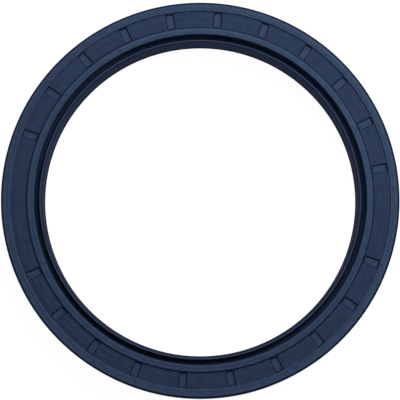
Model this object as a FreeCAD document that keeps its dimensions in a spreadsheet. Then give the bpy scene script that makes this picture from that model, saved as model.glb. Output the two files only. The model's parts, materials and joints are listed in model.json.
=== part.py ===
# Radial shaft seal with a rubber-covered steel case, a spring-loaded sealing lip and a dust lip.
#
# The Z axis is the shaft's axis. The oil side lies on z = 0, the air side is the face at
# z = seal_width. Every outline is a half section: X is the radius, Y of the sketch is the height.
# Lengths are in millimetres, angles in degrees.

import FreeCAD, Part
import Sketcher
import math
import os
import re

# Driving dimensions. Each one becomes a cell of the spreadsheet, with its name as the alias.
SIZES = {
    # the standard size
    "shaft_diameter": 115.0,
    "housing_diameter": 145.0,
    "seal_width": 14.0,
    # pressed case
    "sheet_thickness": 1.2,
    "bend_radius": 0.8,
    # rubber round the case
    "skin_thickness": 1.0,
    "face_thickness": 1.1,
    "end_cap": 1.2,
    "lead_height": 1.8,
    "lead_inset": 0.7,
    "edge_chamfer": 0.5,
    # air-side face
    "outer_rim_width": 3.3,
    "inner_rim_width": 2.55,
    "rim_gap": 3.2,
    "track_depth": 0.5,
    # mould-support windows in the track
    "window_width": 2.9,
    "window_margin": 0.3,
    "window_step": 15.0,
    "window_start_a": 9.5,
    "window_count_a": 11,
    "window_start_b": 204.5,
    "window_count_b": 10,
    # groove between the inner rim and the dust lip
    "groove_depth": 3.6,
    "groove_width": 0.65,
    "groove_slant": 0.7,
    "groove_round": 0.25,
    # dust lip
    "dust_interference": 0.2,
    "dust_tip_recess": 0.4,
    "dust_tip_thickness": 1.0,
    "dust_tip_slope": 0.45,
    "dust_root_depth": 4.6,
    # sealing lip
    "lip_interference": 1.0,
    "lip_depth": 8.9,
    "land_width": 0.25,
    "air_angle": 25.0,
    "oil_angle": 45.0,
    "head_length": 2.4,
    "head_round": 0.3,
    "neck_depth": 5.9,
    "neck_thickness": 1.45,
    "neck_round": 1.5,
    # foot that bonds the lips to the flange
    "wrap_thickness": 1.1,
    "foot_thickness": 0.7,
    "foot_reach": 2.6,
    "foot_taper": 0.5,
    "foot_round": 1.0,
    # garter spring and its seat
    "coil_diameter": 2.4,
    "head_thickness": 1.4,
    "spring_offset": 0.4,
    "seat_clearance": 0.05,
    "seat_wrap": 0.5,
    "seat_shoulder": 0.3,
}

# Radii and heights that follow from the driving dimensions.
LEVELS = {
    "outer_radius": "housing_diameter / 2",
    "shaft_radius": "shaft_diameter / 2",
    "case_radius": "outer_radius - skin_thickness",
    "case_bore": "case_radius - sheet_thickness",
    "bend_outside": "bend_radius + sheet_thickness",
    "flange_top": "seal_width - face_thickness",
    "flange_bottom": "flange_top - sheet_thickness",
    "rim_radius": "shaft_radius + rim_gap",
    "flange_bore": "rim_radius + wrap_thickness",
    "foot_level": "flange_bottom - foot_thickness",
    "track_inside": "rim_radius + inner_rim_width",
    "track_outside": "outer_radius - outer_rim_width",
    "lip_radius": "shaft_radius - lip_interference / 2",
    "lip_level": "seal_width - lip_depth",
    "land_top": "lip_level + land_width / 2",
    "land_bottom": "lip_level - land_width / 2",
    "head_level": "lip_level - head_length",
    "oil_cone_radius": "lip_radius + (land_bottom - head_level) * tan(oil_angle * 1 deg)",
    "neck_level": "seal_width - neck_depth",
    "neck_bore": "lip_radius + (neck_level - land_top) * tan(air_angle * 1 deg)",
    "neck_radius": "neck_bore + neck_thickness",
    "dust_radius": "shaft_radius - dust_interference / 2",
    "dust_tip_level": "seal_width - dust_tip_recess",
    "groove_level": "seal_width - groove_depth",
    "groove_outside": "rim_radius - groove_slant",
    "groove_inside": "groove_outside - groove_width",
    "coil_radius": "coil_diameter / 2",
    "spring_radius": "lip_radius + head_thickness + coil_radius",
    "spring_level": "lip_level + spring_offset",
    "seat_radius": "coil_radius + seat_clearance",
    # the head's end face is never narrower than its two rounds
    "head_radius": "max(spring_radius + seat_wrap; oil_cone_radius + 2 * head_round)",
    "shoulder_level": "spring_level + sqrt(seat_radius ^ 2 - seat_wrap ^ 2) + seat_shoulder",
    # the outside of the neck starts above the shoulder, and its round takes at most 0.8 of that side
    "neck_crest": "max(neck_level; shoulder_level + seat_shoulder)",
    "shoulder_lean": "atan2(head_radius - neck_radius; neck_crest - shoulder_level) / 1 deg",
    "neck_lean": "atan2(flange_bore - neck_radius; foot_level - neck_crest) / 1 deg",
    "shoulder_run": "sqrt((head_radius - neck_radius) ^ 2 + (neck_crest - shoulder_level) ^ 2)",
    "neck_room": "0.8 * shoulder_run / tan((shoulder_lean + neck_lean) / 2 * 1 deg)",
}

doc = FreeCAD.newDocument("RadialShaftSeal")


# Driving dimensions and levels

def make_sheet():
    sheet = doc.addObject("Spreadsheet::Sheet", "Sizes")
    for row, (name, value) in enumerate(SIZES.items(), start=1):
        sheet.set("A%d" % row, name)
        sheet.set("B%d" % row, str(value))
        sheet.setAlias("B%d" % row, name)
    doc.recompute()
    return sheet


def bound(text):
    # puts the owner's name in front of each size and each level in an expression
    def owned(match):
        word = match.group()
        if word in SIZES:
            return "Sizes." + word
        if word in LEVELS:
            return "Levels." + word
        return word
    return re.sub(r"[a-z_]+", owned, text)


def make_levels():
    levels = doc.addObject("App::VarSet", "Levels")
    for name in LEVELS:
        levels.addProperty("App::PropertyFloat", name, "Levels")
    for name, text in LEVELS.items():
        levels.setExpression(name, bound(text))
    doc.recompute()
    return levels


# Sketch helpers

def origin_part(body, role):
    return next(item for item in body.Origin.OriginFeatures if item.Role == role)


def new_body(label):
    body = doc.addObject("PartDesign::Body", label)
    body.Label = label
    return body


def new_sketch(body, name, role):
    sketch = body.newObject("Sketcher::SketchObject", name)
    sketch.AttachmentSupport = [(origin_part(body, role), "")]
    sketch.MapMode = "FlatFace"
    return sketch


def hold(sketch, kind, places, text, start=1.0):
    # a dimension of the sketch, held by an expression
    index = sketch.addConstraint(Sketcher.Constraint(kind, *places, start))
    sketch.setExpression("Constraints[%d]" % index, bound(text))


def draw_outline(sketch, corners):
    # a closed outline through corners of (x, y) or (x, y, round)
    for index, corner in enumerate(corners):
        sketch.addGeometry(Part.Point(FreeCAD.Vector(1, 1, 0)), True)
        hold(sketch, "DistanceX", (-1, 1, index, 1), corner[0])
        hold(sketch, "DistanceY", (-1, 1, index, 1), corner[1])
    doc.recompute()
    spots = [FreeCAD.Vector(point.X, point.Y, 0) for point in sketch.Geometry]

    sides = []
    for index, spot in enumerate(spots):
        following = spots[(index + 1) % len(spots)]
        run = following - spot
        side = Part.LineSegment(spot + run * 0.1, following - run * 0.1)
        sides.append(sketch.addGeometry(side, False))

    for index, corner in enumerate(corners):
        arriving, leaving = sides[index - 1], sides[index]
        if len(corner) == 2:
            sketch.addConstraint(Sketcher.Constraint("Coincident", arriving, 2, index, 1))
            sketch.addConstraint(Sketcher.Constraint("Coincident", leaving, 1, index, 1))
        else:
            round_corner(sketch, index, spots, arriving, leaving, corner[2])


def round_corner(sketch, index, spots, arriving, leaving, text):
    # an arc that touches both sides of the corner, whose point stays where the sides would meet
    spot = spots[index]
    back = (spots[index - 1] - spot).normalize()
    ahead = (spots[(index + 1) % len(spots)] - spot).normalize()
    inward = (back + ahead).normalize()
    half = back.getAngle(ahead) / 2
    start_radius = 0.2
    centre = spot + inward * (start_radius / math.sin(half))
    reach = start_radius / math.tan(half)
    first, last = spot + back * reach, spot + ahead * reach
    middle = centre - inward * start_radius
    turns_left = back.cross(ahead).z < 0
    begin, end = (first, last) if turns_left else (last, first)
    arc = sketch.addGeometry(Part.Arc(begin, middle, end), False)
    at_arriving, at_leaving = (1, 2) if turns_left else (2, 1)
    sketch.addConstraint([
        Sketcher.Constraint("PointOnObject", index, 1, arriving),
        Sketcher.Constraint("PointOnObject", index, 1, leaving),
        Sketcher.Constraint("Tangent", arriving, 2, arc, at_arriving),
        Sketcher.Constraint("Tangent", leaving, 1, arc, at_leaving),
    ])
    hold(sketch, "Radius", (arc,), text, start_radius)


def turned(body, kind, name, sketch):
    # a full revolution of the sketch about its own vertical axis, added or cut away
    feature = body.newObject(kind, name)
    feature.Profile = sketch
    feature.ReferenceAxis = (sketch, ["V_Axis"])
    feature.Angle = 360.0
    doc.recompute()
    return feature


# Steel case: an L section pressed from sheet, its flange at the air side

def make_steel_case():
    body = new_body("steel_case")
    section = new_sketch(body, "CaseSection", "XZ_Plane")
    draw_outline(section, [
        ("case_bore", "end_cap"),
        ("case_radius", "end_cap"),
        ("case_radius", "flange_top", "bend_outside"),
        ("flange_bore", "flange_top"),
        ("flange_bore", "flange_bottom"),
        ("case_bore", "flange_bottom", "bend_radius"),
    ])
    turned(body, "PartDesign::Revolution", "PressedCase", section)
    return body


# Rubber body: cover, dust lip and sealing lip in one moulding round the case

def make_rubber_body():
    body = new_body("rubber_body")
    section = new_sketch(body, "MouldingSection", "XZ_Plane")
    draw_outline(section, [
        # outside: end face, lead-in for the housing bore, seat, air-side face
        ("case_bore", "0"),
        ("outer_radius - lead_inset", "0"),
        ("outer_radius", "lead_height"),
        ("outer_radius", "seal_width - edge_chamfer"),
        ("outer_radius - edge_chamfer", "seal_width"),
        ("rim_radius", "seal_width"),
        # groove and dust lip
        ("groove_outside", "groove_level", "groove_round"),
        ("groove_inside", "groove_level", "groove_round"),
        ("dust_radius + dust_tip_thickness", "dust_tip_level"),
        ("dust_radius", "dust_tip_level - dust_tip_slope"),
        ("neck_bore", "seal_width - dust_root_depth"),
        # sealing lip: air-side cone, contact land, oil-side cone, head
        ("neck_bore", "neck_level"),
        ("lip_radius", "land_top"),
        ("lip_radius", "land_bottom"),
        ("oil_cone_radius", "head_level", "head_round"),
        ("head_radius", "head_level", "head_round"),
        ("head_radius", "shoulder_level"),
        # neck and foot under the flange
        ("neck_radius", "neck_crest", "min(neck_round; neck_room)"),
        ("flange_bore", "foot_level", "foot_round"),
        ("flange_bore + foot_reach - foot_taper", "foot_level"),
        ("flange_bore + foot_reach", "flange_bottom"),
        # bond line round the case, back to the end face
        ("flange_bore", "flange_bottom"),
        ("flange_bore", "flange_top"),
        ("case_radius", "flange_top", "bend_outside"),
        ("case_radius", "end_cap"),
        ("case_bore", "end_cap"),
    ])
    turned(body, "PartDesign::Revolution", "Moulding", section)
    cut_spring_seat(body)
    cut_face_track(body)
    cut_windows(body, "A", "window_start_a", "window_count_a")
    cut_windows(body, "B", "window_start_b", "window_count_b")
    return body


def cut_spring_seat(body):
    sketch = new_sketch(body, "SeatSection", "XZ_Plane")
    ring = sketch.addGeometry(Part.Circle(FreeCAD.Vector(60, 5, 0), FreeCAD.Vector(0, 0, 1), 1), False)
    hold(sketch, "DistanceX", (-1, 1, ring, 3), "spring_radius")
    hold(sketch, "DistanceY", (-1, 1, ring, 3), "spring_level")
    hold(sketch, "Radius", (ring,), "seat_radius")
    turned(body, "PartDesign::Groove", "SpringSeat", sketch)


def cut_face_track(body):
    # the shallow sunk ring that the air-side face carries between its two rims
    sketch = new_sketch(body, "TrackSection", "XZ_Plane")
    draw_outline(sketch, [
        ("track_inside", "seal_width - track_depth"),
        ("track_outside", "seal_width - track_depth"),
        ("track_outside", "seal_width + track_depth"),
        ("track_inside", "seal_width + track_depth"),
    ])
    turned(body, "PartDesign::Groove", "FaceTrack", sketch)


def cut_windows(body, run, start, count):
    # a run of windows where the mould held the flange: each goes through the face to the steel
    sketch = new_sketch(body, "WindowOutline" + run, "XY_Plane")
    sketch.setExpression("AttachmentOffset.Base.z", bound("seal_width"))
    sketch.setExpression("AttachmentOffset.Rotation.Angle", bound(start))
    draw_outline(sketch, [
        ("track_inside + window_margin", "-window_width / 2"),
        ("track_outside - window_margin", "-window_width / 2"),
        ("track_outside - window_margin", "window_width / 2"),
        ("track_inside + window_margin", "window_width / 2"),
    ])
    before = body.Tip.Shape.Volume
    pocket = body.newObject("PartDesign::Pocket", "Window" + run)
    pocket.Profile = sketch
    pocket.setExpression("Length", bound("face_thickness + sheet_thickness / 2"))
    doc.recompute()
    if not pocket.Shape.Volume < before:
        raise RuntimeError("window " + run + " cuts nothing")
    pattern = body.newObject("PartDesign::PolarPattern", "WindowRun" + run)
    pattern.Originals = [pocket]
    pattern.Axis = (origin_part(body, "Z_Axis"), [""])
    pattern.setExpression("Angle", bound("window_step * (%s - 1)" % count))
    pattern.setExpression("Occurrences", bound(count))
    body.Tip = pattern
    doc.recompute()


# Garter spring: the outer shape of the close-wound coil, joined end to end in a ring

def make_garter_spring():
    spring = doc.addObject("Part::Torus", "garter_spring")
    spring.Label = "garter_spring"
    spring.setExpression("Radius1", bound("spring_radius"))
    spring.setExpression("Radius2", bound("coil_radius"))
    spring.setExpression("Placement.Base.z", bound("spring_level"))
    doc.recompute()
    return spring


def check(sub_parts):
    for item in doc.Objects:
        if "Invalid" in item.State or "Error" in item.State:
            raise RuntimeError(item.Name + " failed: " + ", ".join(item.State))
    for item in sub_parts:
        shape = item.Shape
        if shape.isNull() or not shape.isValid() or len(shape.Solids) != 1:
            raise RuntimeError(item.Label + " is not one valid solid")


make_sheet()
make_levels()
sub_parts = [make_rubber_body(), make_steel_case(), make_garter_spring()]
doc.recompute()
check(sub_parts)

os.makedirs("parts", exist_ok=True)
for item in sub_parts:
    item.Shape.exportStep(os.path.join("parts", item.Label + ".step"))
    box = item.Shape.optimalBoundingBox(False, False)
    print("%s: %.1f mm3, %.2f mm across, from z = %.2f to %.2f" % (
        item.Label, item.Shape.Volume, box.XLength, box.ZMin, box.ZMax))
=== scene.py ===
# Radial shaft seal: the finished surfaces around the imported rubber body, steel case and garter spring.
# Sizes in the dictionaries are millimetres and degrees, and the seal lies oil side down on the floor.
import json
import math

import bpy
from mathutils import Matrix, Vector


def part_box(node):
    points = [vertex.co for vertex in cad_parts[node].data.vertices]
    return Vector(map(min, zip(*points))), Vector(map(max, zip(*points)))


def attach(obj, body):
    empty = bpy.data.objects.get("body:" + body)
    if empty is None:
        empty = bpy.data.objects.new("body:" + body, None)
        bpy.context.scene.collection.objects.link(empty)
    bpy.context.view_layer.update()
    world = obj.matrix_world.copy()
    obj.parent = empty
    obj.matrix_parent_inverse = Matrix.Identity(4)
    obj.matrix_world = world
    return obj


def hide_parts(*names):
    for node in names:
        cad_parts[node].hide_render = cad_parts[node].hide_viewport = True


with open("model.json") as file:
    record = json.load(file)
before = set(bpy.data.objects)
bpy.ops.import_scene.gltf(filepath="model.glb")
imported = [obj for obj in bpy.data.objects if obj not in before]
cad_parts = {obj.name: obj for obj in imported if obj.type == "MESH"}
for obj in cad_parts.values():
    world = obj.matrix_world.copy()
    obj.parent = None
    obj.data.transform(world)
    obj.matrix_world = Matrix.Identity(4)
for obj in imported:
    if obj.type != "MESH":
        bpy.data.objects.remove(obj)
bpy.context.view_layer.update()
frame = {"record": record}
mm = 0.001


def frameSizes():
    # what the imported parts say, to a hundredth of a millimetre
    def edge(node, corner, axis):
        return round(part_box(node)[corner][axis] / mm, 2)

    mounts = {mount["name"]: mount for mount in frame["record"]["mounts"]}
    coilDiameter = edge("garter_spring", 1, 2) - edge("garter_spring", 0, 2)
    return {
        "outerRadius": edge("rubber_body", 1, 0),
        "width": edge("rubber_body", 1, 2),
        "caseRadius": edge("steel_case", 1, 0),
        "caseEnd": edge("steel_case", 0, 2),
        "flangeTop": edge("steel_case", 1, 2),
        "lipRadius": mounts["shaft_bore"]["dims"]["r_mm"],
        "lipLevel": round(mounts["shaft_bore"]["pos_m"][2] / mm, 2),
        "coilRadius": coilDiameter / 2,
        "springRadius": edge("garter_spring", 1, 0) - coilDiameter / 2,
        "springLevel": edge("garter_spring", 0, 2) + coilDiameter / 2,
    }


seal = frameSizes()
print("frame read:", seal)


# Node helpers

def setSockets(tree, node, sockets):
    # each named input is linked to a socket or set to a value
    for name, value in sockets.items():
        if isinstance(value, bpy.types.NodeSocket):
            tree.links.new(value, node.inputs[name])
        else:
            node.inputs[name].default_value = value


def addNode(tree, kind, sockets=None, **settings):
    node = tree.nodes.new(kind)
    for name, value in settings.items():
        setattr(node, name, value)
    setSockets(tree, node, sockets or {})
    return node


def calc(tree, operation, *values):
    # one step of arithmetic in either kind of tree
    return addNode(tree, "ShaderNodeMath", dict(enumerate(values)), operation=operation).outputs[0]


def newGroup(name, treeKind, inputs, outputs):
    # a group from its inputs (label, kind, start value) and its outputs (label, kind)
    group = bpy.data.node_groups.new(name, treeKind)
    for label, kind, start in inputs:
        socket = group.interface.new_socket(label, in_out="INPUT", socket_type="NodeSocket" + kind)
        if start is not None:
            socket.default_value = start
    for label, kind in outputs:
        group.interface.new_socket(label, in_out="OUTPUT", socket_type="NodeSocket" + kind)
    given = group.nodes.new("NodeGroupInput")
    result = group.nodes.new("NodeGroupOutput")
    return group, given.outputs, result.inputs


def useGroup(tree, group, sockets):
    kind = "GeometryNodeGroup" if group.bl_idname == "GeometryNodeTree" else "ShaderNodeGroup"
    return addNode(tree, kind, sockets, node_tree=group).outputs


# Sections: corners of (radius, height, round, tone), where the tone says how light the rubber is

def roundedPath(corners, arcStep=16.0):
    # the open path through the corners, with each round as an arc that blends the tones
    points = []
    lastTone = corners[0][3]
    for index, (radius, level, bend, tone) in enumerate(corners):
        spot = Vector((radius, level))
        if index in (0, len(corners) - 1) or not bend:
            points.append((radius, level, tone))
            lastTone = tone
            continue
        back = (Vector(corners[index - 1][:2]) - spot).normalized()
        ahead = (Vector(corners[index + 1][:2]) - spot).normalized()
        half = back.angle(ahead) / 2
        middle = spot + (back + ahead).normalized() * (bend / math.sin(half))
        start = spot + back * (bend / math.tan(half)) - middle
        turn = math.pi - 2 * half
        if back.x * ahead.y - back.y * ahead.x > 0:
            turn = -turn
        steps = max(2, round(math.degrees(abs(turn)) / arcStep))
        for step in range(steps + 1):
            share = step / steps
            angle = turn * share
            turned = Vector((start.x * math.cos(angle) - start.y * math.sin(angle),
                             start.x * math.sin(angle) + start.y * math.cos(angle)))
            point = middle + turned
            points.append((point.x, point.y, lastTone + (tone - lastTone) * share))
        lastTone = tone
    return points


def sectionMesh(name, paths, pathRadius, closed=False):
    # the section as edges, measured from the path that it is swept along
    verts, edges, tones = [], [], []
    for path in paths:
        first = len(verts)
        for radius, level, tone in path:
            verts.append(((radius - pathRadius) * mm, -level * mm, 0))
            tones.append(tone)
        edges += [(i, i + 1) for i in range(first, len(verts) - 1)]
        if closed:
            edges.append((len(verts) - 1, first))
    mesh = bpy.data.meshes.new(name)
    mesh.from_pydata(verts, edges, [])
    attribute = mesh.attributes.new("tone", "FLOAT", "POINT")
    attribute.data.foreach_set("value", tones)
    return mesh


# Geometry Nodes: groups for the turned forms and the windows

tolerance = {"level": 0.01, "merge": 0.001}


def sweepRoundGroup():
    # sweeps a section round a circle, as a lathe does
    group, given, result = newGroup("sweepRound", "GeometryNodeTree", [
        ("Section", "Geometry", None), ("Path Radius", "Float", 0.06), ("Segments", "Int", 64),
    ], [("Ring", "Geometry")])
    profile = addNode(group, "GeometryNodeMeshToCurve", {"Mesh": given["Section"]})
    path = addNode(group, "GeometryNodeCurvePrimitiveCircle", {
        "Resolution": given["Segments"], "Radius": given["Path Radius"]}, mode="RADIUS")
    ring = addNode(group, "GeometryNodeCurveToMesh", {
        "Curve": path.outputs["Curve"], "Profile Curve": profile.outputs["Curve"]})
    group.links.new(ring.outputs["Mesh"], result["Ring"])
    return group


def windowRunGroup():
    # a run of equal pieces about the axis, from a first angle in equal steps
    group, given, result = newGroup("windowRun", "GeometryNodeTree", [
        ("Piece", "Geometry", None), ("First Angle", "Float", 0.0), ("Angle Step", "Float", 0.1),
        ("Count", "Int", 1),
    ], [("Run", "Geometry")])
    spots = addNode(group, "GeometryNodeMeshLine", {
        "Count": given["Count"], "Offset": (0, 0, 0)}, mode="OFFSET")
    index = group.nodes.new("GeometryNodeInputIndex").outputs[0]
    angle = calc(group, "MULTIPLY_ADD", index, given["Angle Step"], given["First Angle"])
    turn = addNode(group, "ShaderNodeCombineXYZ", {"Z": angle})
    placed = addNode(group, "GeometryNodeInstanceOnPoints", {
        "Points": spots.outputs["Mesh"], "Instance": given["Piece"], "Rotation": turn.outputs[0]})
    real = addNode(group, "GeometryNodeRealizeInstances", {"Geometry": placed.outputs["Instances"]})
    group.links.new(real.outputs["Geometry"], result["Run"])
    return group


def fillLevelGroup():
    # fills between the open edges that lie at one level, with the holes left open
    group, given, result = newGroup("fillLevel", "GeometryNodeTree", [
        ("Mesh", "Geometry", None), ("Level", "Float", 0.0), ("Tone", "Float", 0.0),
    ], [("Face", "Geometry")])
    neighbours = group.nodes.new("GeometryNodeInputMeshEdgeNeighbors").outputs["Face Count"]
    place = addNode(group, "ShaderNodeSeparateXYZ", {
        "Vector": group.nodes.new("GeometryNodeInputPosition").outputs[0]})
    away = calc(group, "ABSOLUTE", calc(group, "SUBTRACT", place.outputs["Z"], given["Level"]))
    atLevel = calc(group, "LESS_THAN", away, tolerance["level"] * mm)
    # an edge inside a skin has two faces
    isOpen = calc(group, "LESS_THAN", neighbours, 2)
    loops = addNode(group, "GeometryNodeMeshToCurve", {
        "Mesh": given["Mesh"], "Selection": calc(group, "MULTIPLY", atLevel, isOpen)})
    face = addNode(group, "GeometryNodeFillCurve", {"Curve": loops.outputs["Curve"]}, mode="TRIANGLES")
    lift = addNode(group, "ShaderNodeCombineXYZ", {"Z": given["Level"]})
    raised = addNode(group, "GeometryNodeTransform", {
        "Geometry": face.outputs["Mesh"], "Translation": lift.outputs[0]})
    toned = addNode(group, "GeometryNodeStoreNamedAttribute", {
        "Geometry": raised.outputs["Geometry"], "Name": "tone", "Value": given["Tone"]},
        data_type="FLOAT", domain="POINT")
    group.links.new(toned.outputs["Geometry"], result["Face"])
    return group


sweepRound = sweepRoundGroup()
windowRun = windowRunGroup()
fillLevel = fillLevelGroup()


def finishTree(tree, geometry, given, result):
    # one skin, smooth, with its material: the end of every tree
    merged = addNode(tree, "GeometryNodeMergeByDistance", {
        "Geometry": geometry, "Distance": tolerance["merge"] * mm})
    real = addNode(tree, "GeometryNodeRealizeInstances", {"Geometry": merged.outputs["Geometry"]})
    smooth = addNode(tree, "GeometryNodeSetShadeSmooth", {"Geometry": real.outputs["Geometry"]})
    painted = addNode(tree, "GeometryNodeSetMaterial", {
        "Geometry": smooth.outputs["Geometry"], "Material": given["Material"]})
    tree.links.new(painted.outputs["Geometry"], result["Geometry"])
    tree.is_modifier = True


def growPiece(name, seedMesh, tree, values):
    # runs a tree on the seed mesh and keeps the outcome as a plain mesh at the origin
    seed = bpy.data.objects.new(name + "Seed", seedMesh)
    bpy.context.scene.collection.objects.link(seed)
    modifier = seed.modifiers.new("grow", "NODES")
    modifier.node_group = tree
    for item in tree.interface.items_tree:
        if item.in_out == "INPUT" and item.name in values:
            modifier[item.identifier] = values[item.name]
    weighted = seed.modifiers.new("flatFacesLead", "WEIGHTED_NORMAL")
    weighted.keep_sharp = True
    depsgraph = bpy.context.evaluated_depsgraph_get()
    mesh = bpy.data.meshes.new_from_object(seed.evaluated_get(depsgraph))
    seed.modifiers.clear()
    bpy.data.objects.remove(seed)
    mesh.name = name
    mesh.materials.clear()
    mesh.materials.append(values["Material"])
    mesh.polygons.foreach_set("material_index", [0] * len(mesh.polygons))
    piece = bpy.data.objects.new(name, mesh)
    bpy.context.scene.collection.objects.link(piece)
    mesh.calc_loop_triangles()
    print(name, "has", len(mesh.loop_triangles), "triangles")
    return piece


def standFor(piece, node):
    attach(piece, "root")
    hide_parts(node)


# Shader groups: effects that several finishes share

def ringPlaceGroup():
    # object coordinates in millimetres, with the radius, the height and the direction about the axis
    group, _, result = newGroup("ringPlace", "ShaderNodeTree", [], [
        ("Spot", "Vector"), ("Radius", "Float"), ("Height", "Float"), ("Round", "Vector")])
    where = group.nodes.new("ShaderNodeTexCoord").outputs["Object"]
    spot = addNode(group, "ShaderNodeVectorMath", {0: where, "Scale": 1 / mm}, operation="SCALE").outputs[0]
    axes = addNode(group, "ShaderNodeSeparateXYZ", {0: spot}).outputs
    flat = addNode(group, "ShaderNodeCombineXYZ", {"X": axes["X"], "Y": axes["Y"]}).outputs[0]
    radius = addNode(group, "ShaderNodeVectorMath", {0: flat}, operation="LENGTH").outputs["Value"]
    unit = addNode(group, "ShaderNodeVectorMath", {0: flat}, operation="NORMALIZE").outputs[0]
    group.links.new(spot, result["Spot"])
    group.links.new(radius, result["Radius"])
    group.links.new(axes["Z"], result["Height"])
    group.links.new(unit, result["Round"])
    return group


def grainGroup():
    # fine matt grain of a blasted mould or a coat, with a coarser unevenness under it
    group, given, result = newGroup("fineGrain", "ShaderNodeTree", [
        ("Spot", "Vector", None), ("Grain Size", "Float", 0.12), ("Uneven Size", "Float", 1.5),
        ("Uneven Share", "Float", 0.3),
    ], [("Height", "Float"), ("Cloud", "Float")])
    fineScale = calc(group, "DIVIDE", 1.0, given["Grain Size"])
    wideScale = calc(group, "DIVIDE", 1.0, given["Uneven Size"])
    fine = addNode(group, "ShaderNodeTexNoise", {
        "Vector": given["Spot"], "Scale": fineScale, "Detail": 2.0, "Roughness": 0.6}).outputs[0]
    wide = addNode(group, "ShaderNodeTexNoise", {
        "Vector": given["Spot"], "Scale": wideScale, "Detail": 3.0, "Roughness": 0.5}).outputs[0]
    both = addNode(group, "ShaderNodeMix", {
        0: given["Uneven Share"], 2: fine, 3: wide}, data_type="FLOAT").outputs[0]
    group.links.new(both, result["Height"])
    group.links.new(wide, result["Cloud"])
    return group


def turningGroup():
    # fine rings left by a turning tool in the mould, or by the press tool in the steel
    group, given, result = newGroup("turningMarks", "ShaderNodeTree", [
        ("Radius", "Float", 0.0), ("Height", "Float", 0.0), ("Round", "Vector", None),
        ("Pitch", "Float", 0.15), ("Drift", "Float", 0.7),
    ], [("Lines", "Float")])
    across = calc(group, "DIVIDE", calc(group, "ADD", given["Radius"], given["Height"]), given["Pitch"])
    drift = addNode(group, "ShaderNodeVectorMath", {
        0: given["Round"], "Scale": given["Drift"]}, operation="SCALE").outputs[0]
    line = addNode(group, "ShaderNodeCombineXYZ", {"Z": across}).outputs[0]
    place = addNode(group, "ShaderNodeVectorMath", {0: drift, 1: line}, operation="ADD").outputs[0]
    lines = addNode(group, "ShaderNodeTexNoise", {
        "Vector": place, "Scale": 1.0, "Detail": 2.0, "Roughness": 0.55}).outputs[0]
    group.links.new(lines, result["Lines"])
    return group


def specksGroup():
    # sparse specks of dust: a few cells of a coarse pattern hold a small dot each
    group, given, result = newGroup("dustSpecks", "ShaderNodeTree", [
        ("Spot", "Vector", None), ("Spacing", "Float", 3.0), ("Speck Size", "Float", 0.06),
        ("Core Share", "Float", 0.6), ("Share", "Float", 0.1),
    ], [("Mask", "Float")])
    cells = addNode(group, "ShaderNodeTexVoronoi", {
        "Vector": given["Spot"], "Scale": calc(group, "DIVIDE", 1.0, given["Spacing"]), "Randomness": 1.0},
        feature="F1", voronoi_dimensions="3D")
    reach = calc(group, "DIVIDE", given["Speck Size"], given["Spacing"])
    core = calc(group, "MULTIPLY", reach, given["Core Share"])
    near = addNode(group, "ShaderNodeMapRange", {
        "Value": cells.outputs["Distance"], "From Min": core, "From Max": reach,
        "To Min": 1.0, "To Max": 0.0}).outputs[0]
    chance = addNode(group, "ShaderNodeSeparateColor", {"Color": cells.outputs["Color"]}).outputs[0]
    chosen = calc(group, "LESS_THAN", chance, given["Share"])
    group.links.new(calc(group, "MULTIPLY", near, chosen), result["Mask"])
    return group


ringPlace = ringPlaceGroup()
fineGrain = grainGroup()
turningMarks = turningGroup()
dustSpecks = specksGroup()
print("shared node groups are ready")


# Parts of a material

noiseSpan = (0.3, 0.7)


def newMaterial(name, viewColour):
    material = bpy.data.materials.new(name)
    material.use_nodes = True
    material.diffuse_color = (*viewColour, 1.0)
    tree = material.node_tree
    shader = next(node for node in tree.nodes if node.type == "BSDF_PRINCIPLED")
    return material, tree, shader


def blend(tree, factor, first, second):
    # a mix of two colours, which may be sockets
    node = addNode(tree, "ShaderNodeMix", data_type="RGBA", clamp_factor=True)
    for key, value in (("Factor", factor), ("A", first), ("B", second)):
        slot = next(socket for socket in node.inputs if socket.name == key and socket.enabled)
        if isinstance(value, bpy.types.NodeSocket):
            tree.links.new(value, slot)
        else:
            slot.default_value = (*value, 1.0) if key != "Factor" else value
    return next(socket for socket in node.outputs if socket.enabled)


def spread(tree, value, fromLow, fromHigh, toLow, toHigh):
    return addNode(tree, "ShaderNodeMapRange", {
        "Value": value, "From Min": fromLow, "From Max": fromHigh,
        "To Min": toLow, "To Max": toHigh}).outputs[0]


def fromNoise(tree, value, ends):
    # noise mostly keeps within its span, which is spread to the two ends
    return spread(tree, value, *noiseSpan, *ends)


def grainFor(tree, look):
    # the place on the ring and the grain, in the sizes of one finish
    place = useGroup(tree, ringPlace, {})
    grain = useGroup(tree, fineGrain, {
        "Spot": place["Spot"], "Grain Size": look["grainSize"], "Uneven Size": look["unevenSize"],
        "Uneven Share": look["unevenShare"]})
    return place, grain


def marksFor(tree, place, look):
    # the turning marks and the specks, in the sizes of one finish
    lines = useGroup(tree, turningMarks, {
        "Radius": place["Radius"], "Height": place["Height"], "Round": place["Round"],
        "Pitch": look["markPitch"]})["Lines"]
    specks = useGroup(tree, dustSpecks, {
        "Spot": place["Spot"], "Spacing": look["speckSpacing"], "Speck Size": look["speckSize"],
        "Share": look["speckShare"]})["Mask"]
    return lines, specks


def bumpStack(tree, *layers):
    # bumps on top of each other, each a pattern and its depth
    sockets = {"Strength": 1.0}
    for pattern, depth in layers:
        layer = addNode(tree, "ShaderNodeBump", {**sockets, "Height": pattern, "Distance": depth * mm})
        sockets["Normal"] = layer.outputs[0]
    return sockets["Normal"]


# Rubber body

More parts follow.
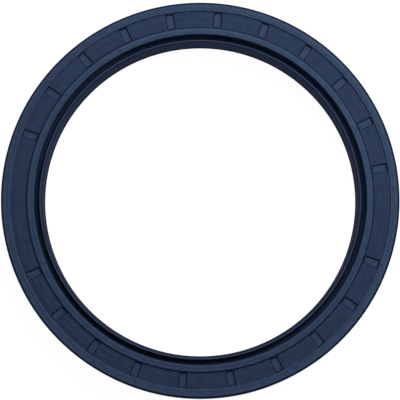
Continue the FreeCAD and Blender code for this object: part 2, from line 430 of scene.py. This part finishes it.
rubberFinish = {
    # the dark end of the tone, toward which low tones paint shade
    "deepColour": (0.0024, 0.0046, 0.0290),
    "bloomColour": (0.0530, 0.0925, 0.1715),
    # the pale colour of a painted highlight where the tone is past 1
    "wornColour": (0.115, 0.130, 0.165),
    "speckColour": (0.42, 0.45, 0.50),
    "cloudShade": (0.89, 1.11), "grainShade": (0.82, 1.18), "markShade": (0.84, 1.16),
    "roughness": (0.50, 0.68), "specular": 0.05,
    "grainSize": 0.30, "unevenSize": 2.4, "unevenShare": 0.15, "markPitch": 0.6,
    "grainBump": 0.006, "markBump": 0.004,
    "speckSpacing": 1.6, "speckSize": 0.13, "speckShare": 0.05,
}


def makeRubberMaterial():
    look = rubberFinish
    material, tree, shader = newMaterial("navyRubber", look["bloomColour"])
    place, grain = grainFor(tree, look)
    lines, specks = marksFor(tree, place, look)
    stored = addNode(tree, "ShaderNodeAttribute", attribute_name="tone", attribute_type="GEOMETRY")
    tone = stored.outputs["Fac"]

    # the tone blends from the dark end to the full tone: the rubber's own bands, painted shade where it is
    # low and painted highlights near 1, made uneven by clouds, grain and marks
    cloud = fromNoise(tree, grain["Cloud"], look["cloudShade"])
    fine = fromNoise(tree, grain["Height"], look["grainShade"])
    ring = fromNoise(tree, lines, look["markShade"])
    toneShare = calc(tree, "MULTIPLY", calc(tree, "MULTIPLY", tone, cloud), calc(tree, "MULTIPLY", fine, ring))
    colour = blend(tree, toneShare, look["deepColour"], look["bloomColour"])
    # past 1 the tone paints a pale highlight on an edge
    paintedBand = calc(tree, "MULTIPLY", calc(tree, "SUBTRACT", tone, 1.0), ring)
    pale = blend(tree, paintedBand, colour, look["wornColour"])
    setSockets(tree, shader, {
        "Base Color": blend(tree, specks, pale, look["speckColour"]),
        "Roughness": fromNoise(tree, grain["Cloud"], look["roughness"]),
        "Specular IOR Level": look["specular"],
        "Normal": bumpStack(tree, (grain["Height"], look["grainBump"]), (lines, look["markBump"])),
    })
    return material


rubber = {
    "segments": 360, "seatSteps": 22,
    "sheetThickness": 1.2, "bendOutside": 2.0, "bondOutside": 0.2, "bondInside": 0.4,
    "leadHeight": 1.8, "leadInset": 0.7, "leadRound": 0.36, "endRound": 0.24, "edgeChamfer": 0.5,
    "outerRimWidth": 3.3, "innerRimWidth": 2.55, "rimGap": 3.2, "trackDepth": 0.5,
    "shaftGap": 0.5, "wrapThickness": 1.1,
    "footThickness": 0.7, "footReach": 2.6, "footTaper": 0.5, "footRound": 1.0,
    "grooveDepth": 3.6, "grooveWidth": 0.65, "grooveSlant": 0.7, "grooveFloorRound": 0.25,
    "dustInterference": 0.2, "dustTipRecess": 0.4, "dustTipThickness": 1.0, "dustTipSlope": 0.45,
    "dustRound": 0.06, "dustRootDepth": 4.6, "crestWidth": 0.16, "crestFade": 0.05, "crestDrop": 0.15,
    "neckDepth": 5.9, "neckThickness": 1.45, "neckRound": 1.5, "rootRound": 0.3,
    "landWidth": 0.25, "airAngle": 25.0, "oilAngle": 45.0, "headLength": 2.4, "headRound": 0.3,
    "seatClearance": 0.05, "seatWrap": 0.5, "seatShoulder": 0.3,
    "edgeRound": 0.12, "innerEdgeRound": 0.20, "outerEdgeRound": 0.34, "grooveEdgeRound": 0.18,
    "sharpRound": 0.03, "floorRound": 0.08,
    # the inner rim falls towards the track, and its last points stand at these shares of the fall
    "rimFall": 0.2, "fallShares": (0.6, 0.76, 0.89),
    # how wide the painted shade in creases, the painted bands of highlight and shade at edges, and the
    # darker bands at the lip are
    "creaseWidth": 0.1, "rubbedWidth": 0.45, "rubbedFade": 0.3, "darkHeight": 0.55, "coneHeight": 0.95,
    "windowWidth": 2.9, "windowMargin": 0.3, "windowDraft": 0.05, "windowRim": 0.17,
    "windowCorner": 0.28, "cornerSteps": 5, "rimSteps": 3,
    # flash at a window's foot: shares of its reach and of the rim's height
    "windowFlash": 0.15, "flashSteps": ((0.0, 1.0), (0.3, 0.5), (1.0, 0.3), (1.2, 0.0)),
    "windowStep": 15.0, "firstWindowA": 9.5, "windowCountA": 11, "firstWindowB": 204.5, "windowCountB": 10,
}

rubberTone = {
    # 0 is the dark end and 1 the full tone; the track and rims differ by their own finish, low tones are
    # painted shade, edge tones are painted highlights, and past 1 the colour goes pale as a painted
    # highlight
    # the outer rim's edge tone is a painted highlight, and the outer step is painted lighter to soften its
    # shadow
    "outerRim": 0.64, "outerRimEdge": 0.80, "outerStep": 0.62,
    # the inner rim's and the groove rim's edge tones are painted highlights, and the inner step is painted
    # shade in its crease
    "innerRim": 0.66, "innerRimEdge": 0.82, "grooveRimEdge": 0.90, "step": 0.07,
    # the window wall's tone is painted shade that outlines each window
    "track": 0.48, "windowWall": 0.12,
    # the chamfer's tone is painted shade along the outer edge
    "outside": 0.56, "chamfer": 0.08, "endFace": 0.6,
    # the groove, groove wall and dust lip tones are painted shade in the recess, and the dust crest is a
    # painted highlight
    "groove": 0.32, "grooveWall": 0.48, "dustLip": 0.24, "dustCrest": 1.70,
    # the lip's tone is painted shade deep in the bore, and the lip edge is darker still
    "lip": 0.32, "lipEdge": 0.05, "oilSide": 0.6, "seat": 0.3, "bond": 0.2,
}


def rubberPlaces():
    # radii and levels that both runs of the section and the windows need
    shaftRadius = seal["lipRadius"] + rubber["shaftGap"]
    rimRadius = shaftRadius + rubber["rimGap"]
    return {
        "shaftRadius": shaftRadius,
        "rimRadius": rimRadius,
        "trackInside": rimRadius + rubber["innerRimWidth"],
        "trackOutside": seal["outerRadius"] - rubber["outerRimWidth"],
        "trackLevel": seal["width"] - rubber["trackDepth"],
    }


def outsideRun():
    # from the track over the outer rim, down the outside and up along the case to the flange
    size, tone, place = rubber, rubberTone, rubberPlaces()
    width, outer, caseRadius = seal["width"], seal["outerRadius"], seal["caseRadius"]
    edge, crease, paintedBand = size["edgeRound"], size["creaseWidth"], size["rubbedWidth"]
    trackOutside, trackLevel = place["trackOutside"], place["trackLevel"]
    chamferRadius, chamferLevel = outer - size["edgeChamfer"], width - size["edgeChamfer"]
    caseBore = caseRadius - size["sheetThickness"]
    return [
        (trackOutside - crease, trackLevel, 0, tone["track"]),
        # the outer step's round is painted lighter than the track to soften its shadow
        (trackOutside, trackLevel, size["floorRound"], tone["outerStep"]),
        # the outer rim's edge by the track carries a painted highlight, the width of the painted band
        (trackOutside, width, size["outerEdgeRound"], tone["outerRimEdge"]),
        (trackOutside + size["outerEdgeRound"] + paintedBand, width, 0, tone["outerRim"]),
        # the outer rim's edge by the chamfer carries the same painted highlight
        (chamferRadius - paintedBand, width, 0, tone["outerRimEdge"]),
        # the chamfer is painted shade along the outer edge, fading into the outside over the painted band
        (chamferRadius - crease, width, 0, tone["chamfer"]),
        (chamferRadius, width, edge, tone["chamfer"]),
        (outer, chamferLevel, edge, tone["chamfer"]),
        (outer, chamferLevel - paintedBand, 0, tone["outside"]),
        (outer, size["leadHeight"], size["leadRound"], tone["outside"]),
        (outer - size["leadInset"], 0, size["endRound"], tone["endFace"]),
        (caseBore, 0, edge, tone["endFace"]),
        (caseBore, seal["caseEnd"], 0, tone["bond"]),
        (caseRadius, seal["caseEnd"], 0, tone["bond"]),
        (caseRadius, seal["flangeTop"], size["bendOutside"], tone["bond"]),
        (caseRadius - size["bendOutside"] - size["bondOutside"], seal["flangeTop"], 0, tone["bond"]),
    ]


def seatRun():
    # round the spring's seat from the upper side of its mouth to the lower
    steps = rubber["seatSteps"]
    seatRadius = seal["coilRadius"] + rubber["seatClearance"]
    opening = math.acos(rubber["seatWrap"] / seatRadius)
    corners = []
    for step in range(steps + 1):
        angle = opening + (2 * math.pi - 2 * opening) * step / steps
        corners.append((seal["springRadius"] + seatRadius * math.cos(angle),
                        seal["springLevel"] + seatRadius * math.sin(angle), 0, rubberTone["seat"]))
    return corners


def insideRun():
    # from the flange round its bore, over the head, both lips and the groove to the inner rim and track
    size, tone, place, seat = rubber, rubberTone, rubberPlaces(), seatRun()
    width, lipRadius, lipLevel = seal["width"], seal["lipRadius"], seal["lipLevel"]
    sharp, crease, paintedBand = size["sharpRound"], size["creaseWidth"], size["rubbedWidth"]
    rimRadius, trackInside, trackLevel = place["rimRadius"], place["trackInside"], place["trackLevel"]
    flangeTop, flangeBottom = seal["flangeTop"], seal["flangeTop"] - size["sheetThickness"]
    flangeBore = rimRadius + size["wrapThickness"]
    footEnd, footLevel = flangeBore + size["footReach"], flangeBottom - size["footThickness"]

    landTop, landBottom = lipLevel + size["landWidth"] / 2, lipLevel - size["landWidth"] / 2
    headRadius, headLevel = seal["springRadius"] + size["seatWrap"], lipLevel - size["headLength"]
    oilCone = lipRadius + (landBottom - headLevel) * math.tan(math.radians(size["oilAngle"]))
    airSlope = math.tan(math.radians(size["airAngle"]))
    neckLevel = width - size["neckDepth"]
    neckBore = lipRadius + (neckLevel - landTop) * airSlope

    dustRadius = place["shaftRadius"] - size["dustInterference"] / 2
    dustOutside, dustLevel = dustRadius + size["dustTipThickness"], width - size["dustTipRecess"]
    tipSlope = size["dustTipSlope"] / size["dustTipThickness"]
    crest, crestStart = size["crestWidth"], size["crestWidth"] + size["crestFade"]
    grooveOutside, grooveLevel = rimRadius - size["grooveSlant"], width - size["grooveDepth"]
    rimLevels = [width - share * size["rimFall"] for share in size["fallShares"]]
    return [
        (flangeBore + size["bondInside"], flangeTop, 0, tone["bond"]),
        (flangeBore, flangeTop, 0, tone["bond"]),
        (flangeBore, flangeBottom, 0, tone["bond"]),
        (footEnd, flangeBottom, 0, tone["oilSide"]),
        (footEnd - size["footTaper"], footLevel, size["edgeRound"], tone["oilSide"]),
        (flangeBore, footLevel, size["footRound"], tone["oilSide"]),
        (neckBore + size["neckThickness"], neckLevel, size["neckRound"], tone["oilSide"]),
        (headRadius, seat[0][1] + size["seatShoulder"], sharp, tone["oilSide"]),
        *seat,
        (headRadius, headLevel, size["headRound"], tone["oilSide"]),
        # the lip cone is painted shade deep in the bore, with a darker band along the lip's edge
        (oilCone, headLevel, size["headRound"], tone["lip"]),
        (lipRadius, landBottom, sharp, tone["lipEdge"]),
        (lipRadius, landTop, sharp, tone["lipEdge"]),
        (lipRadius + size["darkHeight"] * airSlope, landTop + size["darkHeight"], 0, tone["lipEdge"]),
        (lipRadius + size["coneHeight"] * airSlope, landTop + size["coneHeight"], 0, tone["lip"]),
        (neckBore, neckLevel, size["rootRound"], tone["lip"]),
        # the groove, its wall and the dust lip are painted shade in the recess
        (neckBore, width - size["dustRootDepth"], size["rootRound"], tone["groove"]),
        (dustRadius, dustLevel - size["dustTipSlope"], size["dustRound"], tone["dustLip"]),
        (dustOutside - crestStart, dustLevel - crestStart * tipSlope, 0, tone["dustLip"]),
        # the dust lip's crest is a painted highlight, pale past a tone of 1
        (dustOutside - crest, dustLevel - crest * tipSlope, 0, tone["dustCrest"]),
        (dustOutside, dustLevel, size["dustRound"], tone["dustCrest"]),
        (dustOutside, dustLevel - size["crestDrop"], 0, tone["groove"]),
        (grooveOutside - size["grooveWidth"], grooveLevel, size["grooveFloorRound"], tone["groove"]),
        (grooveOutside, grooveLevel, size["grooveFloorRound"], tone["grooveWall"]),
        # the groove rim's edge carries a painted highlight
        (rimRadius, width, size["grooveEdgeRound"], tone["grooveRimEdge"]),
        (rimRadius + size["grooveEdgeRound"] + paintedBand, width, 0, tone["innerRim"]),
        # the inner rim's edge by the track carries a painted highlight that fades out toward the rim's
        # middle
        (trackInside - paintedBand - size["rubbedFade"], rimLevels[0], 0, tone["innerRimEdge"]),
        (trackInside - paintedBand, rimLevels[1], 0, tone["innerRimEdge"]),
        # the inner step is painted shade in its crease
        (trackInside - size["innerEdgeRound"] - crease, rimLevels[2], 0, tone["step"]),
        (trackInside, width - size["rimFall"], size["innerEdgeRound"], tone["step"]),
        (trackInside, trackLevel, size["floorRound"], tone["step"]),
        (trackInside + crease, trackLevel, 0, tone["track"]),
    ]


def windowSleeve():
    # the wall of one window: its rim, its drafted side and the flash at its foot, with open ends
    size, tone, place = rubber, rubberTone, rubberPlaces()
    top, foot = place["trackLevel"], seal["flangeTop"]
    rim, draft, flash = size["windowRim"], size["windowDraft"], size["windowFlash"]
    # rings from the top down: how far outward of the window's outline, level and tone; the wall and the
    # flash carry painted shade that outlines the window
    rings = []
    for step in range(size["rimSteps"] + 1):
        angle = math.pi / 2 * step / size["rimSteps"]
        rings.append((rim * (1 - math.sin(angle)), top - rim * (1 - math.cos(angle)),
                      tone["track"] if step == 0 else tone["windowWall"]))
    for reachShare, heightShare in size["flashSteps"]:
        rings.append((-draft - reachShare * flash, foot + heightShare * rim, tone["windowWall"]))

    # every ring turns its corners about the same four middles
    corner, cornerSteps = size["windowCorner"], size["cornerSteps"]
    near = place["trackInside"] + size["windowMargin"] + corner
    far = place["trackOutside"] - size["windowMargin"] - corner
    side = size["windowWidth"] / 2 - corner
    middles = ((far, side), (near, side), (near, -side), (far, -side))
    verts, faces, tones = [], [], []
    for outward, level, shade in rings:
        bend = corner + outward
        for turn, (middleX, middleY) in enumerate(middles):
            for step in range(cornerSteps + 1):
                angle = math.pi / 2 * (turn + step / cornerSteps)
                spot = (middleX + bend * math.cos(angle), middleY + bend * math.sin(angle), level)
                verts.append([value * mm for value in spot])
                tones.append(shade)
    around = 4 * (cornerSteps + 1)
    for ring in range(len(rings) - 1):
        for spot in range(around):
            following = (spot + 1) % around
            faces.append((ring * around + following, (ring + 1) * around + following,
                          (ring + 1) * around + spot, ring * around + spot))
    mesh = bpy.data.meshes.new("windowSleeve")
    mesh.from_pydata(verts, [], faces)
    mesh.attributes.new("tone", "FLOAT", "POINT").data.foreach_set("value", tones)
    sleeve = bpy.data.objects.new("windowSleeve", mesh)
    bpy.context.scene.collection.objects.link(sleeve)
    return sleeve


def rubberTree():
    # the section swept round, with the windows set in and the open faces at the track and bond filled
    tree, given, result = newGroup("mouldedRing", "GeometryNodeTree", [
        ("Geometry", "Geometry", None), ("Path Radius", "Float", 0.06), ("Segments", "Int", 64),
        ("Sleeve", "Object", None), ("Angle Step", "Float", 0.1),
        ("First Angle A", "Float", 0.0), ("Count A", "Int", 1),
        ("First Angle B", "Float", 0.0), ("Count B", "Int", 1),
        ("Track Level", "Float", 0.0), ("Bond Level", "Float", 0.0), ("Track Tone", "Float", 0.0),
        ("Bond Tone", "Float", 0.0), ("Material", "Material", None),
    ], [("Geometry", "Geometry")])
    ring = useGroup(tree, sweepRound, {
        "Section": given["Geometry"], "Path Radius": given["Path Radius"], "Segments": given["Segments"]})
    sleeve = addNode(tree, "GeometryNodeObjectInfo", {"Object": given["Sleeve"]}).outputs["Geometry"]
    skin = tree.nodes.new("GeometryNodeJoinGeometry")
    tree.links.new(ring["Ring"], skin.inputs[0])
    for run in ("A", "B"):
        windows = useGroup(tree, windowRun, {
            "Piece": sleeve, "First Angle": given["First Angle " + run], "Angle Step": given["Angle Step"],
            "Count": given["Count " + run]})
        tree.links.new(windows["Run"], skin.inputs[0])
    faces = {}
    for name in ("Track", "Bond"):
        faces[name] = useGroup(tree, fillLevel, {
            "Mesh": skin.outputs[0], "Level": given[name + " Level"], "Tone": given[name + " Tone"]})["Face"]
    under = addNode(tree, "GeometryNodeFlipFaces", {"Mesh": faces["Bond"]}).outputs[0]
    whole = tree.nodes.new("GeometryNodeJoinGeometry")
    for part in (under, faces["Track"], skin.outputs[0]):
        tree.links.new(part, whole.inputs[0])
    finishTree(tree, whole.outputs[0], given, result)
    return tree


def makeRubberBody():
    size = rubber
    pathRadius = seal["lipRadius"]
    runs = [roundedPath(outsideRun()), roundedPath(insideRun())]
    section = sectionMesh("rubberSection", runs, pathRadius)
    sleeve = windowSleeve()
    piece = growPiece("rubberBody", section, rubberTree(), {
        "Path Radius": pathRadius * mm, "Segments": size["segments"], "Sleeve": sleeve,
        "Angle Step": math.radians(size["windowStep"]),
        "First Angle A": math.radians(size["firstWindowA"]), "Count A": size["windowCountA"],
        "First Angle B": math.radians(size["firstWindowB"]), "Count B": size["windowCountB"],
        "Track Level": rubberPlaces()["trackLevel"] * mm, "Bond Level": seal["flangeTop"] * mm,
        "Track Tone": rubberTone["track"], "Bond Tone": rubberTone["bond"],
        "Material": makeRubberMaterial(),
    })
    bpy.data.objects.remove(sleeve)
    standFor(piece, "rubber_body")


makeRubberBody()


# Steel case

steelCase = {
    "segments": 240, "arcStep": 9.0, "sheetThickness": 1.2, "bendRadius": 0.8, "wrapRadius": 61.8,
    "edgeRound": 0.1,
}

caseFinish = {
    "coatColour": (0.0340, 0.0615, 0.1290),
    "bareColour": (0.150, 0.155, 0.160),
    "wornColour": (0.16, 0.17, 0.19),
    "speckColour": (0.42, 0.45, 0.50),
    "coatDepths": (0.3, 0.1), "bareMetallic": 0.75, "wornClouds": (0.35, 0.75), "wornShare": 0.35,
    "roughness": (0.46, 0.64), "specular": 0.12,
    "grainSize": 0.10, "unevenSize": 4.0, "unevenShare": 0.3, "markPitch": 0.35,
    "grainBump": 0.004, "markBump": 0.005,
    "speckSpacing": 6.0, "speckSize": 0.14, "speckShare": 0.08,
}


def makeCaseMaterial():
    look = caseFinish
    material, tree, shader = newMaterial("coatedSteel", look["coatColour"])
    place, grain = grainFor(tree, look)
    lines, specks = marksFor(tree, place, look)
    # the top of the flange, which the windows show, is coated, and the rest is bare and a little worn
    bareLevel, coatLevel = (seal["flangeTop"] - depth for depth in look["coatDepths"])
    coated = spread(tree, place["Height"], bareLevel, coatLevel, 0.0, 1.0)
    ground = blend(tree, coated, look["bareColour"], look["coatColour"])
    clouds = spread(tree, grain["Cloud"], *look["wornClouds"], 0.0, look["wornShare"])
    worn = calc(tree, "MULTIPLY", clouds, calc(tree, "SUBTRACT", 1.0, coated))
    lighter = blend(tree, worn, ground, look["wornColour"])
    setSockets(tree, shader, {
        "Base Color": blend(tree, specks, lighter, look["speckColour"]),
        "Metallic": spread(tree, coated, 0.0, 1.0, look["bareMetallic"], 0.0),
        "Roughness": fromNoise(tree, grain["Height"], look["roughness"]),
        "Specular IOR Level": look["specular"],
        "Normal": bumpStack(tree, (grain["Height"], look["grainBump"]), (lines, look["markBump"])),
    })
    return material


def caseTree():
    tree, given, result = newGroup("pressedRing", "GeometryNodeTree", [
        ("Geometry", "Geometry", None), ("Path Radius", "Float", 0.06), ("Segments", "Int", 64),
        ("Material", "Material", None),
    ], [("Geometry", "Geometry")])
    ring = useGroup(tree, sweepRound, {
        "Section": given["Geometry"], "Path Radius": given["Path Radius"], "Segments": given["Segments"]})
    finishTree(tree, ring["Ring"], given, result)
    return tree


def makeSteelCase():
    size = steelCase
    outer, top, end = seal["caseRadius"], seal["flangeTop"], seal["caseEnd"]
    bore, bottom = outer - size["sheetThickness"], top - size["sheetThickness"]
    edge = size["edgeRound"]
    middle = (end + bottom) / 2
    loop = [
        (bore, middle, 0, 0), (bore, end, edge, 0), (outer, end, edge, 0),
        (outer, top, size["bendRadius"] + size["sheetThickness"], 0),
        (size["wrapRadius"], top, edge, 0), (size["wrapRadius"], bottom, edge, 0),
        (bore, bottom, size["bendRadius"], 0), (bore, middle, 0, 0),
    ]
    # turned round, so that the faces look outward, and without the point that closes the loop
    path = roundedPath(loop, size["arcStep"])[:0:-1]
    section = sectionMesh("caseSection", [path], outer, closed=True)
    piece = growPiece("steelCase", section, caseTree(), {
        "Path Radius": outer * mm, "Segments": size["segments"], "Material": makeCaseMaterial()})
    standFor(piece, "steel_case")


makeSteelCase()


# Garter spring

spring = {
    "wireDiameter": 0.45, "turns": 832, "pointsPerTurn": 12, "wireSides": 6,
    "jointAngle": 250.0, "jointLength": 7.0, "jointTaper": 0.12, "jointEndShare": 0.1,
}

springFinish = {
    "wireColour": (0.55, 0.55, 0.54), "filmColour": (0.30, 0.30, 0.31),
    "filmClouds": (0.45, 0.75), "filmShare": 0.7, "roughness": (0.20, 0.34), "metallic": 1.0,
    "grainSize": 0.05, "unevenSize": 2.5, "unevenShare": 0.4, "grainBump": 0.002,
}


def makeSpringMaterial():
    look = springFinish
    material, tree, shader = newMaterial("springWire", look["wireColour"])
    _, grain = grainFor(tree, look)
    film = spread(tree, grain["Cloud"], *look["filmClouds"], 0.0, look["filmShare"])
    setSockets(tree, shader, {
        "Base Color": blend(tree, film, look["wireColour"], look["filmColour"]),
        "Metallic": look["metallic"],
        "Roughness": fromNoise(tree, grain["Height"], look["roughness"]),
        "Normal": bumpStack(tree, (grain["Height"], look["grainBump"])),
    })
    return material


def coilTree():
    # a close-wound coil that runs round the ring, thinner where one end is screwed into the other
    tree, given, result = newGroup("garterCoil", "GeometryNodeTree", [
        ("Geometry", "Geometry", None), ("Ring Radius", "Float", 0.06), ("Ring Level", "Float", 0.0),
        ("Coil Radius", "Float", 0.001), ("Wire Radius", "Float", 0.0002), ("Turns", "Int", 10),
        ("Points Per Turn", "Int", 8), ("Wire Sides", "Int", 6), ("Joint Angle", "Float", 0.0),
        ("Joint Span", "Float", 0.1), ("Joint Taper", "Float", 0.1), ("Joint End Share", "Float", 0.1),
        ("Material", "Material", None),
    ], [("Geometry", "Geometry")])
    count = calc(tree, "MULTIPLY", given["Turns"], given["Points Per Turn"])
    path = addNode(tree, "GeometryNodeCurvePrimitiveCircle", {
        "Resolution": count, "Radius": 1.0}, mode="RADIUS")
    index = tree.nodes.new("GeometryNodeInputIndex").outputs[0]
    share = calc(tree, "DIVIDE", index, count)
    around = calc(tree, "MULTIPLY", share, 2 * math.pi)
    coiled = calc(tree, "MULTIPLY", around, given["Turns"])
    beyond = calc(tree, "DIVIDE", calc(tree, "SUBTRACT", around, given["Joint Angle"]), given["Joint Span"])
    # it tapers slowly along the end that is screwed in, and is full again just past the joint
    rise = addNode(tree, "ShaderNodeMapRange", {
        "Value": beyond, "From Min": -1.0, "From Max": 0.0}, interpolation_type="SMOOTHSTEP").outputs[0]
    fall = addNode(tree, "ShaderNodeMapRange", {
        "Value": beyond, "From Min": 0.0, "From Max": given["Joint End Share"]},
        interpolation_type="SMOOTHSTEP").outputs[0]
    thin = calc(tree, "MULTIPLY", calc(tree, "SUBTRACT", rise, fall), given["Joint Taper"])
    radius = calc(tree, "MULTIPLY", given["Coil Radius"], calc(tree, "SUBTRACT", 1.0, thin))
    reach = calc(tree, "MULTIPLY_ADD", calc(tree, "COSINE", coiled), radius, given["Ring Radius"])
    place = addNode(tree, "ShaderNodeCombineXYZ", {
        "X": calc(tree, "MULTIPLY", reach, calc(tree, "COSINE", around)),
        "Y": calc(tree, "MULTIPLY", reach, calc(tree, "SINE", around)),
        "Z": calc(tree, "MULTIPLY_ADD", calc(tree, "SINE", coiled), radius, given["Ring Level"])})
    wound = addNode(tree, "GeometryNodeSetPosition", {
        "Geometry": path.outputs["Curve"], "Position": place.outputs[0]})
    wire = addNode(tree, "GeometryNodeCurvePrimitiveCircle", {
        "Resolution": given["Wire Sides"], "Radius": given["Wire Radius"]}, mode="RADIUS")
    coil = addNode(tree, "GeometryNodeCurveToMesh", {
        "Curve": wound.outputs["Geometry"], "Profile Curve": wire.outputs["Curve"]})
    finishTree(tree, coil.outputs["Mesh"], given, result)
    return tree


def makeGarterSpring():
    size = spring
    piece = growPiece("garterSpring", bpy.data.meshes.new("coilSeed"), coilTree(), {
        "Ring Radius": seal["springRadius"] * mm, "Ring Level": seal["springLevel"] * mm,
        "Coil Radius": (seal["coilRadius"] - size["wireDiameter"] / 2) * mm,
        "Wire Radius": size["wireDiameter"] / 2 * mm, "Turns": size["turns"],
        "Points Per Turn": size["pointsPerTurn"], "Wire Sides": size["wireSides"],
        "Joint Angle": math.radians(size["jointAngle"]),
        "Joint Span": size["jointLength"] / seal["springRadius"],
        "Joint Taper": size["jointTaper"], "Joint End Share": size["jointEndShare"],
        "Material": makeSpringMaterial(),
    })
    standFor(piece, "garter_spring")


makeGarterSpring()


# Floor, lights and camera

stageSizes = {
    "floorSize": 6000.0, "floorLevel": -0.03, "floorColour": (0.18, 0.18, 0.18),
    "floorRoughness": 0.9, "floorSpecular": 0.1, "floorGlow": 0.955, "glowColour": (1.0, 1.0, 1.0),
    "skyColour": (1.0, 1.0, 1.0), "skySeen": 1.0, "skyLight": 0.20,
}

lights = {
    # name: place, side of the square, power in watts, colour
    "keyTop": ((160.0, 250.0, 285.0), 430.0, 1.66, (1.0, 1.0, 1.0)),
    "warmLeft": ((-262.0, 405.0, 350.0), 120.0, 0.25, (1.0, 0.94, 0.88)),
    "fillLow": ((330.0, -260.0, 200.0), 200.0, 0.08, (0.97, 0.98, 1.0)),
}

camera = {
    "distance": 700.0, "elevation": 83.3, "aim": (-0.08, -0.70), "lens": 173.4, "sensor": 36.0,
    "clipStart": 50.0, "clipEnd": 20000.0,
}


def makeFloor():
    size = stageSizes
    half, level = size["floorSize"] / 2 * mm, size["floorLevel"] * mm
    mesh = bpy.data.meshes.new("floor")
    corners = [(-half, -half, level), (half, -half, level), (half, half, level), (-half, half, level)]
    mesh.from_pydata(corners, [], [(0, 1, 2, 3)])
    floor = bpy.data.objects.new("floor", mesh)
    bpy.context.scene.collection.objects.link(floor)
    material, tree, shader = newMaterial("paleFloor", size["floorColour"])
    setSockets(tree, shader, {
        "Base Color": (*size["floorColour"], 1.0), "Roughness": size["floorRoughness"],
        "Specular IOR Level": size["floorSpecular"],
        "Emission Color": (*size["glowColour"], 1.0), "Emission Strength": size["floorGlow"],
    })
    # from below the floor is open, so that the oil side can be seen
    underside = tree.nodes.new("ShaderNodeNewGeometry").outputs["Backfacing"]
    clear = tree.nodes.new("ShaderNodeBsdfTransparent").outputs[0]
    both = addNode(tree, "ShaderNodeMixShader", {0: underside, 1: shader.outputs[0], 2: clear})
    tree.links.new(both.outputs[0], tree.nodes["Material Output"].inputs["Surface"])
    mesh.materials.append(material)


def makeLights():
    for name, (place, side, power, colour) in lights.items():
        data = bpy.data.lights.new(name, "AREA")
        data.shape = "SQUARE"
        data.size = side * mm
        data.energy = power
        data.color = colour
        lamp = bpy.data.objects.new(name, data)
        lamp.location = Vector(place) * mm
        # each lamp looks at the middle of the ring
        lamp.rotation_mode = "QUATERNION"
        lamp.rotation_quaternion = (-lamp.location).to_track_quat("-Z", "Y")
        lamp.visible_camera = False
        bpy.context.scene.collection.objects.link(lamp)
    world = bpy.data.worlds.new("paleSky")
    world.use_nodes = True
    tree = world.node_tree
    background = tree.nodes["Background"]
    background.inputs["Color"].default_value = (*stageSizes["skyColour"], 1.0)
    seen = tree.nodes.new("ShaderNodeLightPath").outputs["Is Camera Ray"]
    tree.links.new(spread(tree, seen, 0.0, 1.0, stageSizes["skyLight"], stageSizes["skySeen"]),
                   background.inputs["Strength"])
    bpy.context.scene.world = world


def makeCamera():
    data = bpy.data.cameras.new("camera")
    data.lens = camera["lens"]
    data.sensor_width = camera["sensor"]
    data.clip_start = camera["clipStart"] * mm
    data.clip_end = camera["clipEnd"] * mm
    eye = bpy.data.objects.new("camera", data)
    bpy.context.scene.collection.objects.link(eye)
    tilt = math.radians(camera["elevation"])
    back = Vector((0, -math.cos(tilt), math.sin(tilt)))
    aim = Vector((*camera["aim"], seal["width"])) * mm
    eye.location = aim + back * camera["distance"] * mm
    eye.rotation_mode = "QUATERNION"
    eye.rotation_quaternion = (-back).to_track_quat("-Z", "Y")
    bpy.context.scene.camera = eye
    bpy.context.scene.view_settings.view_transform = "Standard"


makeFloor()
makeLights()
makeCamera()
print("stage, lights and camera are set")
